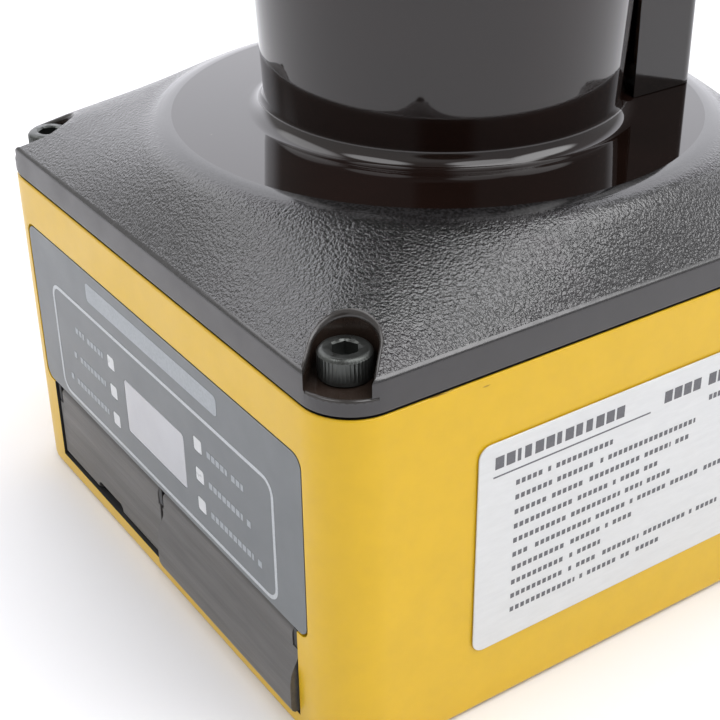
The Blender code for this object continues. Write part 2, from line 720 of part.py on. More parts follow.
def make_receiver():
    turned("receiver_barrel", [(BARREL_R, 58.6), (BARREL_R, 44.5), (15.8, 44.5), (15.8, DECK),
                               (7.0, DECK), (7.0, 55.8), (7.9, 55.8), (7.9, 58.6)], ALUMINIUM,
           steps=MEDIUM)
    turned("receiver_lens", [(0, 58.4), (4.0, 58.1), (7.6, 57.2), (7.6, 56.1), (0, 56.1)], GLASS,
           steps=MEDIUM)
    board = block("detector_board", (-11, 11), (AXIS_Y - 11, AXIS_Y + 11), (38.6, 39.8), BOARD)
    join(board, rod("detector_can", 3.0, (39.5, 42.6), (0, AXIS_Y), sides=MEDIUM))


def make_motor():
    stator = turned("motor_stator", [(22.5, 48.8), (22.5, DECK), (19.5, DECK), (19.5, 48.8)],
                    COPPER)
    join(stator, spokes("stator_teeth", 9, (16.8, 20.4), (-2.2, 2.2), (44.6, 48.2)))


def make_encoder_sensor():
    """Fork whose slot the encoder disc's rim passes through."""
    outline = [(24.0, DECK), (27.6, DECK), (27.6, 53.1), (19.0, 53.1), (19.0, 52.0),
               (24.0, 52.0), (24.0, 50.4), (19.0, 50.4), (19.0, 49.2), (24.0, 49.2)]
    extruded("encoder_sensor", outline, (AXIS_Y - 4.0, AXIS_Y + 4.0), 1, DARK)


def make_chassis():
    half = RIM_HALF - 0.4
    plate = block("optical_chassis", (-half, half), (-half, half), CHASSIS_Z, CAST_BLACK,
                  RIM_CORNER - 0.4, segments=5)
    cut(plate, rod("chassis_bore", 7.2, (38, 45), (0, AXIS_Y), sides=MEDIUM))
    cut(plate, rods("chassis_holes", 1.4, (38, 45), corners(POST_POS), sides=12))
    cut(plate, block("chassis_slot", (-CHANNEL_HALF, CHANNEL_HALF),
                     (RIBBON_Y - 0.9, RIBBON_Y + 1.2), (38, 45)))


# Electronics

def make_boards():
    sink = 0.2
    main_top = MAIN_BOARD_Z + BOARD_THICKNESS
    main = block("main_board", (-32, 32), (-27, 32), (MAIN_BOARD_Z, main_top), BOARD, 24.5,
                 segments=6)
    main_z = (main_top - sink, main_top + 1.5)
    main_parts = [((-8, 8), (-4, 12), main_z), ((14, 22), (-2, 8), main_z),
                  ((-24, -16), (2, 12), main_z), ((-6, 6), (24.8, 28.4), (main_z[0], 30.7)),
                  ((-20, -8), (-18, -14), main_z), ((8, 18), (-20, -15), main_z)]
    join(main, blocks("main_board_parts", main_parts))
    power_top = POWER_BOARD_Z + BOARD_THICKNESS
    power = block("power_board", (-31, 31), (-21, 31), (POWER_BOARD_Z, power_top), BOARD, 20.0,
                  segments=6)
    power_parts = [((-15, -3), (2, 14), (power_top - sink, power_top + 6)),
                   ((4, 12), (0, 8), (power_top - sink, power_top + 4)),
                   ((14, 26), (-8, 6), (power_top - sink, power_top + 2.5))]
    join(power, blocks("power_board_parts", power_parts))
    join(power, rods("capacitors", 4.0, (power_top - sink, power_top + 11),
                     ((-22, 6), (6, 18)), sides=16))
    spacer_z = (power_top + GAP, MAIN_BOARD_Z - GAP)
    for index, place in enumerate(SPACERS):
        rod("board_spacer_%d" % (index + 1), 2.6, spacer_z, place, BRASS, sides=6)
    block("board_link_connector", (-12, 12), (-12.5, -8.0), spacer_z, DARK)


def make_rear_fittings():
    at = (0, REAR, CONNECTOR_Z)
    turned("rear_connector", [(6.8, 9.0), (6.8, 2.3), (10.5, 2.3), (10.5, 0.3), (7.9, 0.3),
                              (7.9, -8.0), (5.3, -8.0), (5.3, 9.0)], STEEL, at, rear=True,
           steps=MEDIUM)
    insert = turned("connector_insert", [(0, -1.5), (5.0, -1.5), (5.0, -7.0), (0, -7.0)], DARK,
                    at, rear=True, steps=24)
    pins = [(3.1 * math.cos(math.tau * k / 5), CONNECTOR_Z + 3.1 * math.sin(math.tau * k / 5))
            for k in range(5)]
    join(insert, rods("contact_pins", 0.5, (REAR - 10, REAR + 3.5), pins, axis=1, sides=8))
    nut = rod("connector_nut", 11.2, (REAR - 5.8, REAR - WALL - GAP), (0, CONNECTOR_Z), STEEL,
              axis=1, sides=6)
    cut(nut, rod("nut_bore", 8.2, (REAR - 7, REAR - 1), (0, CONNECTOR_Z), axis=1, sides=40))
    turned("vent_plug", [(0, 2.2), (3.8, 2.2), (4.6, 1.4), (4.6, 0.3), (2.8, 0.3), (2.8, -5.0),
                         (0, -5.0)], DARK, (VENT_X, REAR, CONNECTOR_Z), rear=True, steps=24)


make_base_housing()
make_gasket()
make_panel()
make_service_bay()
make_covers()
make_label()
make_window_cover()
make_screws()
make_pillar()
make_cap()
make_laser()
make_ribbon()
make_rotor()
make_bearings()
make_receiver()
make_motor()
make_encoder_sensor()
make_chassis()
make_boards()
make_rear_fittings()
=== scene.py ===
"""Looks for the compact laser scanner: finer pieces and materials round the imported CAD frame.

Lengths in the mesh code are millimetres and the helpers turn them into metres. +Z is up, the
operator panel faces -Y and the label faces +X.
"""

import math
import random

import bmesh
import bpy
from mathutils import Matrix, Vector
from mathutils.bvhtree import BVHTree


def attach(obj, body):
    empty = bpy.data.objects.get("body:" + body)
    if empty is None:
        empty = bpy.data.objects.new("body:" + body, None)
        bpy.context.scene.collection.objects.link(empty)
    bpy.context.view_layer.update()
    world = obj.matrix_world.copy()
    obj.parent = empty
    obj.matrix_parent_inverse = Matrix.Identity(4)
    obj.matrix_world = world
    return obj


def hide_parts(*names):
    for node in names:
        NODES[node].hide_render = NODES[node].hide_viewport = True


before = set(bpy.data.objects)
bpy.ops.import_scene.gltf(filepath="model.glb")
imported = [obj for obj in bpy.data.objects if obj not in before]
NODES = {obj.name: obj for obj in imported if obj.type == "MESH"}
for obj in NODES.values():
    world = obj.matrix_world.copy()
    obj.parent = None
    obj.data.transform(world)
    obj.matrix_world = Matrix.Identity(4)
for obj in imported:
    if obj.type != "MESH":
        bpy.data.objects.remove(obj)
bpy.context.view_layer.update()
MM = 0.001
AXIS_Y = 2.0
PLATEAU_Y = 1.2


# Materials

def rgb(red, green, blue):
    """An sRGB byte colour as linear RGBA."""
    linear = []
    for value in (red, green, blue):
        share = value / 255
        linear.append(share / 12.92 if share <= 0.04045 else ((share + 0.055) / 1.055) ** 2.4)
    return (*linear, 1.0)


def tinted(color, factor):
    return tuple(min(1.0, part * factor) for part in color[:3]) + (1.0,)


class Graph:
    """A material's nodes, with the calls that this file repeats."""

    def __init__(self, name):
        self.material = bpy.data.materials.new(name)
        self.material.use_nodes = True
        self.tree = self.material.node_tree
        self.shader = self.tree.nodes["Principled BSDF"]
        self.place = self.node("ShaderNodeTexCoord").outputs["Object"]

    def node(self, kind, inputs=None, **settings):
        made = self.tree.nodes.new(kind)
        for key, value in settings.items():
            setattr(made, key, value)
        for key, value in (inputs or {}).items():
            self.put(made, key, value)
        return made

    def put(self, node, key, value):
        if isinstance(value, bpy.types.NodeSocket):
            self.tree.links.new(value, node.inputs[key])
        else:
            node.inputs[key].default_value = value

    def set(self, key, value):
        self.put(self.shader, key, value)

    def math(self, operation, *values):
        return self.node("ShaderNodeMath", dict(enumerate(values)), operation=operation).outputs[0]

    def stretched(self, scale):
        mapping = self.node("ShaderNodeMapping", {"Vector": self.place, "Scale": scale})
        return mapping.outputs["Vector"]

    def noise(self, scale, detail=3.0, rough=0.55, stretch=None):
        where = self.stretched(stretch) if stretch else self.place
        return self.node("ShaderNodeTexNoise", {"Vector": where, "Scale": scale, "Detail": detail,
                                                "Roughness": rough}).outputs["Fac"]

    def cells(self, scale, feature="F1"):
        made = self.node("ShaderNodeTexVoronoi", {"Vector": self.place, "Scale": scale},
                         feature=feature)
        return made.outputs["Distance"]

    def ramp(self, value, low, high, to_low=0.0, to_high=1.0):
        made = self.node("ShaderNodeMapRange", {0: value, 1: low, 2: high, 3: to_low, 4: to_high})
        made.clamp = True
        return made.outputs[0]

    def mix(self, share, first, second):
        made = self.node("ShaderNodeMix", {"Factor": share}, data_type="RGBA")
        self.put(made, 6, first)
        self.put(made, 7, second)
        return made.outputs[2]

    def axes(self):
        return self.node("ShaderNodeSeparateXYZ", {"Vector": self.place}).outputs

    def bump(self, height, distance, strength=1.0):
        """Add one more bump layer; distance is in metres."""
        inputs = {"Height": height, "Distance": distance, "Strength": strength}
        old = self.shader.inputs["Normal"]
        if old.is_linked:
            inputs["Normal"] = old.links[0].from_socket
        self.set("Normal", self.node("ShaderNodeBump", inputs).outputs["Normal"])


def finish(name, color, rough, metallic=0.0, mottle=(900.0, 0.08), spread=0.06, grain=None,
           coat=0.0, coat_rough=0.1, ior=1.5, stretch=None):
    """A worked surface: colour that varies a little, roughness that varies, and a fine grain.

    mottle is the colour noise's scale and share; grain is the bump noise's scale and depth in mm.
    """
    graph = Graph(name)
    clouds = graph.noise(mottle[0], 3.0, 0.6, stretch)
    shade = graph.ramp(clouds, 0.3, 0.7)
    graph.set("Base Color", graph.mix(shade, tinted(color, 1 - mottle[1]),
                                      tinted(color, 1 + mottle[1])))
    graph.set("Roughness", graph.ramp(graph.noise(mottle[0] * 0.37, 2.0, 0.5, stretch), 0.3, 0.7,
                                      max(0.02, rough - spread), rough + spread))
    graph.set("Metallic", metallic)
    graph.set("Coat Weight", coat)
    graph.set("Coat Roughness", coat_rough)
    graph.set("IOR", ior)
    if grain:
        graph.bump(graph.noise(grain[0], 4.0, 0.6, stretch), grain[1] * MM)
    return graph


# Where the scuffs fade in on the label's side, in metres
SCUFF_RISE = (0.0398, 0.0431)
SCUFF_SIDE = (0.0385, 0.0396)
SCUFF_FRONT = (-0.0320, -0.0290)
SCUFF_REAR = (-0.0150, -0.0180)


def yellow_paint():
    """Semi-gloss paint on a casting: faint orange peel, and fine scuffs under the top edge."""
    graph = finish("yellow_paint", YELLOW, 0.36, mottle=(260.0, 0.03), spread=0.05,
                   grain=(1400.0, 0.008), coat=0.2, coat_rough=0.13, ior=1.43)
    x, y, z = graph.axes()
    streaks = graph.noise(1500.0, 3.0, 0.65, (1.0, 0.11, 1.0))
    near_edge = graph.ramp(z, *SCUFF_RISE)
    side = graph.ramp(x, *SCUFF_SIDE)
    along = graph.math("MULTIPLY", graph.ramp(y, *SCUFF_FRONT), graph.ramp(y, *SCUFF_REAR))
    where = graph.math("MULTIPLY", graph.math("MULTIPLY", near_edge, side), along)
    scuff = graph.ramp(graph.math("MULTIPLY", streaks, where), 0.60, 0.66)
    base = graph.shader.inputs["Base Color"].links[0].from_socket
    graph.set("Base Color", graph.mix(scuff, base, rgb(150, 112, 26)))
    graph.bump(scuff, -0.00003)
    return graph.material


# Distance from the plateau's centre over which the grain sets in, in metres
GRAIN_FADE = (0.0334, 0.0358)


def eroded_black():
    """Spark-eroded grain on the shoulders of the window cover, fading out near the plateau."""
    graph = Graph("cover_grain")
    x, y, z = graph.axes()
    across = graph.math("SUBTRACT", y, PLATEAU_Y * MM)
    radius = graph.math("SQRT", graph.math("ADD", graph.math("MULTIPLY", x, x),
                                           graph.math("MULTIPLY", across, across)))
    fade = graph.ramp(radius, *GRAIN_FADE)
    coarse = graph.noise(2900.0, 1.0, 0.5)
    fine = graph.noise(5200.0, 1.0, 0.5)
    height = graph.math("ADD", coarse, graph.math("MULTIPLY", fine, 0.45))
    graph.bump(graph.math("MULTIPLY", height, fade), 0.00015)
    tone = graph.ramp(coarse, 0.42, 0.58)
    graph.set("Base Color", graph.mix(tone, rgb(18, 17, 17), rgb(36, 35, 36)))
    graph.set("Roughness", graph.ramp(fade, 0.0, 1.0, 0.10, 0.21))
    graph.set("IOR", 1.76)
    return graph.material


def gloss_black():
    """Polished infrared-pass plastic, nearly black with a trace of red, with a few dust specks."""
    graph = Graph("cover_gloss")
    tone = graph.ramp(graph.noise(60.0, 2.0), 0.3, 0.7)
    dust = graph.ramp(graph.cells(330.0), 0.022, 0.014)
    seen = graph.ramp(graph.noise(700.0, 1.0), 0.60, 0.62)
    speck = graph.math("MULTIPLY", dust, seen)
    base = graph.mix(tone, rgb(20, 12, 9), rgb(27, 16, 13))
    graph.set("Base Color", graph.mix(speck, base, rgb(190, 180, 170)))
    graph.set("Roughness", graph.ramp(graph.noise(40.0, 2.0), 0.3, 0.7, 0.025, 0.05))
    graph.set("IOR", 1.57)
    graph.bump(graph.noise(35.0, 1.0), 0.000012)
    return graph.material


def satin_black():
    """Fine satin sides of the flange."""
    return finish("cover_satin", rgb(52, 50, 51), 0.33, mottle=(500.0, 0.05), spread=0.05,
                  grain=(5200.0, 0.006), ior=1.56).material


def printed(name, color, rough=0.45):
    """Screen-printed ink with a slightly uneven film."""
    return finish(name, color, rough, mottle=(2600.0, 0.10), spread=0.06,
                  grain=(6000.0, 0.003)).material


def label_film():
    """Silvery polyester label stock with a faint directional sheen."""
    graph = finish("label_film", rgb(212, 213, 213), 0.36, mottle=(1800.0, 0.03), spread=0.06,
                   grain=(4200.0, 0.004), stretch=(1.0, 0.2, 1.0))
    graph.set("Metallic", 0.12)
    return graph.material


def steel(name, color, rough, grain=(2600.0, 0.006), metallic=1.0, stretch=None):
    return finish(name, color, rough, metallic=metallic, mottle=(1500.0, 0.12), spread=0.08,
                  grain=grain, stretch=stretch).material


def circuit_board():
    """Green solder mask with paler tracks."""
    graph = finish("circuit_board", rgb(22, 92, 52), 0.4, mottle=(700.0, 0.1), coat=0.4,
                   grain=(2000.0, 0.01))
    tracks = graph.ramp(graph.cells(420.0, "DISTANCE_TO_EDGE"), 0.045, 0.035)
    base = graph.shader.inputs["Base Color"].links[0].from_socket
    graph.set("Base Color", graph.mix(tracks, base, rgb(70, 140, 84)))
    graph.bump(tracks, 0.00003)
    return graph.material


def clear_glass(name, color, rough):
    graph = finish(name, color, rough, mottle=(200.0, 0.03), spread=0.01)
    graph.set("Transmission Weight", 0.9)
    return graph.material


YELLOW = rgb(215, 173, 8)

MATERIALS = {
    "yellow": yellow_paint(),
    "grain": eroded_black(),
    "gloss": gloss_black(),
    "satin": satin_black(),
    "pocket": finish("cover_pocket", rgb(44, 35, 30), 0.2, mottle=(900.0, 0.1), spread=0.06,
                     grain=(2600.0, 0.01), ior=1.56).material,
    "rim": finish("cover_rim", rgb(48, 45, 43), 0.19, mottle=(900.0, 0.1), spread=0.05,
                  grain=(3600.0, 0.008), ior=1.58).material,
    "edge": finish("cover_edge", rgb(40, 39, 39), 0.2, mottle=(2900.0, 0.2), spread=0.07,
                   grain=(2900.0, 0.012), ior=1.7).material,
    "panel": finish("panel_grey", rgb(104, 108, 111), 0.34, mottle=(420.0, 0.03), spread=0.04,
                    grain=(3800.0, 0.005), ior=1.5).material,
    "cover": finish("dark_grey_plastic", rgb(86, 84, 82), 0.40, mottle=(1500.0, 0.17),
                    spread=0.06, grain=(2300.0, 0.03), stretch=(0.06, 1.0, 1.0)).material,
    # Dark plastic of the sockets and vent cap, also laid on the bay opening's walls as painted
    # shade.
    "dark": finish("socket_plastic_and_painted_shade", rgb(38, 38, 40), 0.5, grain=(3200.0, 0.015)).material,
    "lens": finish("display_lens", rgb(176, 177, 182), 0.22, mottle=(120.0, 0.05), spread=0.04,
                   grain=(2400.0, 0.003), coat=0.5).material,
    "led": finish("light_guide", rgb(206, 208, 210), 0.3, mottle=(900.0, 0.04),
                  grain=(2500.0, 0.006)).material,
    "silver_ink": printed("silver_ink", rgb(182, 186, 190), 0.38),
    "pale_ink": printed("pale_ink", rgb(158, 163, 168), 0.45),
    "dark_ink": printed("dark_ink", rgb(96, 96, 100), 0.5),
    "label": label_film(),
    "oxide": steel("black_oxide_steel", rgb(78, 80, 78), 0.34, (3400.0, 0.012), 0.85),
    "steel": steel("bright_steel", rgb(190, 192, 196), 0.26, (2600.0, 0.005)),
    "nickel": steel("plated_brass", rgb(186, 184, 178), 0.24, (3000.0, 0.005)),
    "aluminium": steel("machined_aluminium", rgb(196, 198, 202), 0.32, (1800.0, 0.008),
                       stretch=(1.0, 1.0, 6.0)),
    "anodised": finish("black_anodised", rgb(44, 44, 48), 0.42, metallic=0.5,
                       grain=(2800.0, 0.012)).material,
    "cap": finish("cap_plastic", rgb(40, 39, 40), 0.4, mottle=(420.0, 0.08), spread=0.06,
                  grain=(3000.0, 0.03), ior=1.55).material,
    "pillar": finish("pillar_gloss", rgb(26, 20, 18), 0.09, mottle=(120.0, 0.1), spread=0.03,
                     grain=(900.0, 0.001), ior=1.56).material,
    "mirror": steel("mirror_coating", rgb(240, 236, 220), 0.05, None),
    "glass": clear_glass("optical_glass", rgb(214, 228, 236), 0.03),
    "board": circuit_board(),
    "copper": steel("copper_winding", rgb(206, 122, 70), 0.34, (1600.0, 0.05),
                    stretch=(1.0, 1.0, 5.0)),
    "magnet": steel("magnet", rgb(92, 92, 96), 0.4, (2000.0, 0.02), 0.8),
    "rubber": finish("gasket_rubber", rgb(28, 28, 28), 0.7, grain=(2600.0, 0.02)).material,
    "gold": steel("gold_contact", rgb(226, 184, 96), 0.28, (2600.0, 0.006)),
    "flex": finish("flex_film", rgb(190, 110, 40), 0.32, coat=0.3,
                   stretch=(4.0, 0.4, 0.4)).material,
}


# Mesh helpers

def make_piece(name, bm, materials, body, replaces=(), sharp=32.0):
    """Turn a bmesh in millimetres into a piece that rides on a CAD body."""
    for vert in bm.verts:
        vert.co *= MM
    bm.normal_update()
    bmesh.ops.recalc_face_normals(bm, faces=bm.faces)
    mesh = bpy.data.meshes.new(name)
    bm.to_mesh(mesh)
    bm.free()
    obj = bpy.data.objects.new(name, mesh)
    bpy.context.scene.collection.objects.link(obj)
    for key in materials:
        mesh.materials.append(MATERIALS[key])
    smooth(mesh, sharp)
    if body:
        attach(obj, body)
    if replaces:
        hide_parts(*replaces)
    return obj


def smooth(mesh, sharp=32.0):
    mesh.shade_smooth()
    mesh.set_sharp_from_angle(angle=math.radians(sharp))


def evaluated(obj):
    """Apply an object's modifiers to its mesh."""
    bpy.context.view_layer.update()
    graph = bpy.context.evaluated_depsgraph_get()
    mesh = bpy.data.meshes.new_from_object(obj.evaluated_get(graph))
    obj.modifiers.clear()
    old = obj.data
    obj.data = mesh
    bpy.data.meshes.remove(old)
    return obj


def combine(obj, cuts=(), joins=()):
    """Join tools to obj, cut the others out of it, then remove them all."""
    for operation, tools in (("UNION", joins), ("DIFFERENCE", cuts)):
        for tool in tools:
            modifier = obj.modifiers.new(tool.name, "BOOLEAN")
            modifier.operation = operation
            modifier.solver = "EXACT"
            modifier.material_mode = "TRANSFER"
            modifier.object = tool
    evaluated(obj)
    for tool in (*joins, *cuts):
        bpy.data.objects.remove(tool, do_unlink=True)
    return obj


def soften(obj, width, angle=35.0, segments=2, sharp=32.0):
    """Round every edge sharper than angle and shade the flats flat."""
    smooth(obj.data, sharp)
    bevel = obj.modifiers.new("edges", "BEVEL")
    bevel.width = width * MM
    bevel.segments = segments
    bevel.limit_method = "ANGLE"
    bevel.angle_limit = math.radians(angle)
    bevel.use_clamp_overlap = True
    bevel.miter_outer = "MITER_ARC"
    normals = obj.modifiers.new("normals", "WEIGHTED_NORMAL")
    normals.keep_sharp = True
    return evaluated(obj)


def middle(span):
    return (span[0] + span[1]) / 2


def arc(centre, radius, start, end, steps):
    """Points on an arc, angles in degrees."""
    points = []
    for index in range(steps + 1):
        angle = math.radians(start + (end - start) * index / steps)
        points.append((centre[0] + radius * math.cos(angle),
                       centre[1] + radius * math.sin(angle)))
    return points


def add_box(bm, x, y, z, corner=0.0, axis=2, segments=6):
    """Box over three spans; corner rounds its four edges along one axis."""
    cube = bmesh.ops.create_cube(bm, size=1.0)["verts"]
    bmesh.ops.scale(bm, vec=(x[1] - x[0], y[1] - y[0], z[1] - z[0]), verts=cube)
    bmesh.ops.translate(bm, vec=(middle(x), middle(y), middle(z)), verts=cube)
    if corner:
        edges = {item for vert in cube for item in vert.link_edges}
        along = [item for item in edges
                 if abs((item.verts[0].co - item.verts[1].co).normalized()[axis]) > 0.9]
        bmesh.ops.bevel(bm, geom=along, offset=corner, segments=segments, profile=0.5,
                        affect="EDGES")


def tool_box(name, x, y, z, corner=0.0, axis=2, material="satin"):
    bm = bmesh.new()
    add_box(bm, x, y, z, corner, axis)
    return make_piece(name, bm, [material], None)


def add_rod(bm, radius, span, at, axis=2, sides=48):
    """Cylinder over a span along one axis; at holds the two other coordinates."""
    rod = bmesh.ops.create_cone(bm, cap_ends=True, segments=sides, radius1=radius,
                                radius2=radius, depth=span[1] - span[0])["verts"]
    centre = list(at)
    centre.insert(axis, middle(span))
    for vert in rod:
        px, py, pz = vert.co
        if axis == 0:
            vert.co = (pz, px, py)
        elif axis == 1:
            vert.co = (py, pz, px)
        vert.co += Vector(centre)


def tool_rods(name, radius, span, places, axis=2, sides=32, material="satin"):
    bm = bmesh.new()
    for at in places:
        add_rod(bm, radius, span, at, axis, sides)
    return make_piece(name, bm, [material], None)


def add_extrusion(bm, outline, span, axis):
    """Push a flat outline along one axis; its points hold the two other coordinates."""
    rows = []
    for end in span:
        row = []
        for point in outline:
            place = list(point)
            place.insert(axis, end)
            row.append(bm.verts.new(place))
        rows.append(row)
    count = len(outline)
    bm.faces.new(rows[0])
    bm.faces.new(rows[1])
    for index in range(count):
        after = (index + 1) % count
        bm.faces.new((rows[0][index], rows[0][after], rows[1][after], rows[1][index]))


def add_loft(bm, loops, materials=None, closed=True, cap_start=False, cap_end=False):
    """Skin a list of loops of 3-D points; materials gives each band's index."""
    rows = [[bm.verts.new(point) for point in loop] for loop in loops]
    count = len(rows[0])
    pairs = list(zip(rows, rows[1:]))
    if closed:
        pairs.append((rows[-1], rows[0]))
    for band, (lower, upper) in enumerate(pairs):
        for index in range(count):
            after = (index + 1) % count
            face = bm.faces.new((lower[index], lower[after], upper[after], upper[index]))
            face.material_index = materials[band] if materials else 0
    if cap_start:
        bm.faces.new(rows[0])
    if cap_end:
        bm.faces.new(rows[-1])


def rounded(profile, radius, steps=4):
    """Round the inner points of a list of (a, b) points; radius is one number or one a point."""
    points = [profile[0]]
    for index in range(1, len(profile) - 1):
        here = Vector(profile[index])
        size = radius[index] if isinstance(radius, (list, tuple)) else radius
        before = Vector(profile[index - 1]) - here
        after = Vector(profile[index + 1]) - here
        if size <= 0 or before.length < 1e-6 or after.length < 1e-6:
            points.append(tuple(here))
            continue
        size = min(size, before.length * 0.45, after.length * 0.45)
        start = here + before.normalized() * size
        end = here + after.normalized() * size
        for step in range(steps + 1):
            share = step / steps
            point = (start * (1 - share) ** 2 + here * 2 * share * (1 - share)
                     + end * share ** 2)
            points.append(tuple(point))
    points.append(profile[-1])
    return points


def add_turned(bm, profile, steps=144):
    """Turn a closed (radius, height) profile round the window's axis."""
    centre = Vector((0.0, AXIS_Y, 0.0))
    loops = []
    for radius, height in profile:
        loop = []
        for index in range(steps):
            angle = math.tau * index / steps
            point = Vector((radius * math.cos(angle), radius * math.sin(angle), height))
            loop.append(centre + point)
        loops.append(loop)
    add_loft(bm, loops)
    on_axis = [vert for vert in bm.verts if math.hypot(vert.co.x, vert.co.y - AXIS_Y) < 1e-5]
    bmesh.ops.remove_doubles(bm, verts=on_axis, dist=1e-4)


# Shapes shared with the frame

HALF = 40.0
CORNER = 6.0
HOUSING_TOP = 43.75
FLANGE_BOTTOM = 44.05
FLANGE_TOP = 48.0
PLATEAU_Z = 55.5
PLATEAU_R = 32.0
SHOULDER_R = 34.5
SHOULDER_DROP = 0.6
SHOULDER_BULGE = 1.25
WINDOW_R = 21.6
WINDOW_TOP_R = 22.9
WINDOW_FILLET = 2.0
WINDOW_TOP = 86.0
SCREW_X = 34.6
SCREW_Y = 35.1
POCKET_R = 3.25
POCKET_FLOOR = FLANGE_BOTTOM + 1.9
BORE_R = 19.8
BORE_TOP_R = 21.1
POST_XY = 27.8
MOUNT_XY = 34.0
FACE = -39.95
RIBBON_X = (-5.2, 5.2)
CONNECTOR_Z = 19.0
VENT_X = 24.0


def square_loop(half, radius, straight=14, corner=12):
    """Points of a rounded square, counter-clockwise from the middle of the +X side."""
    inner = half - radius
    quarter = [(half, inner * index / straight) for index in range(straight)]
    quarter += arc((inner, inner), radius, 0, 90, corner)
    quarter += [(inner * (1 - index / straight), half) for index in range(1, straight)]
    points = []
    for turn in range(4):
        cosine = (1, 0, -1, 0)[turn]
        sine = (0, 1, 0, -1)[turn]
        points += [(x * cosine - y * sine, x * sine + y * cosine) for x, y in quarter]
    return points


OUTLINE = square_loop(HALF, CORNER)


def round_loop(radius, centre=AXIS_Y):
    """Points of a circle about x = 0, y = centre, one for each point of the outline."""
    angles = [math.atan2(y, x) for x, y in OUTLINE]
    return [(radius * math.cos(a), centre + radius * math.sin(a)) for a in angles]


def blended(first, second, share):
    return [(ax + (bx - ax) * share, ay + (by - ay) * share)
            for (ax, ay), (bx, by) in zip(first, second)]


def raised(points, height):
    return [(x, y, height) for x, y in points]


def corners(x, y=None):
    """The four places (+-x, +-y); y is the same as x where it isn't given."""
    return [(sx * x, sy * (x if y is None else y)) for sx in (-1, 1) for sy in (-1, 1)]


SCREW_PLACES = corners(SCREW_X, SCREW_Y)


# Base housing

def make_housing():
    loops = []
    for inset, height in ((0.8, 0.0), (0.35, 0.12), (0.08, 0.42), (0.0, 0.8),
                          (0.0, HOUSING_TOP - 0.24), (0.05, HOUSING_TOP - 0.1),
                          (0.13, HOUSING_TOP - 0.03), (0.26, HOUSING_TOP)):
        loops.append(raised(square_loop(HALF - inset, CORNER - inset), height))
    for half, radius, height in ((36.6, 16.1, HOUSING_TOP), (36.6, 16.1, HOUSING_TOP - 1.1),
                                 (35.2, 14.7, HOUSING_TOP - 1.1), (35.2, 14.7, HOUSING_TOP),
                                 (34.0, 13.5, HOUSING_TOP), (34.0, 13.5, 39.0),
                                 (37.2, 17.0, 39.0), (37.2, 17.0, 2.0)):
        loops.append(raised(square_loop(half, radius), height))
    bands = [0] * (len(loops) - 1)
    # Band 7, the rim's top face under the flange, takes the black rubber: partly a dark sealing
    # joint, partly painted shade in the gap under the flange.
    bands[7] = 1
    bm = bmesh.new()
    add_loft(bm, loops, bands, closed=False, cap_start=True, cap_end=True)
    body = make_piece("housing_shell", bm, ["yellow", "rubber"], None)
    joins = [tool_rods("posts", 3.5, (1.0, 40.0), corners(POST_XY), material="yellow"),
             tool_rods("bosses", 2.6, (1.0, 6.2), [(-22, -14), (22, -14), (-22, 22), (22, 22)],
                       material="yellow")]
    cuts = [
        tool_box("panel_recess", (-33.85, 33.85), (-41, -39.1), (14.35, 37.85), 1.6, 1, "yellow"),
        # The opening's walls take the dark plastic: painted shade in the gap under the panel and
        # round the covers.
        tool_box("bay_opening", (-31.6, 31.6), (-41, -30.0), (2.4, 14.35), material="dark"),
        tool_box("display_opening", (-14, 14), (-40, -35), (16.6, 29.0), material="yellow"),
        tool_rods("tapped_holes", 1.5, (31.75, 45), SCREW_PLACES, material="steel"),
        tool_rods("post_holes", 1.3, (32, 41), corners(POST_XY), material="steel"),
        tool_rods("mounting_holes", 1.65, (-1, 8), corners(MOUNT_XY), material="steel"),
        tool_rods("connector_hole", 8.2, (35, 41), [(0, CONNECTOR_Z)], 1, 64, "yellow"),
        tool_rods("vent_hole", 3.1, (35, 41), [(VENT_X, CONNECTOR_Z)], 1, 40, "yellow"),
    ]
    combine(body, cuts, joins)
    soften(body, 0.22, 40.0)
    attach(body, "scanner_body")
    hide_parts("base_housing")


# Window cover

def shoulder_height(share):
    top = PLATEAU_Z - SHOULDER_DROP
    return FLANGE_TOP + (top - FLANGE_TOP) * (1 - share ** SHOULDER_BULGE)


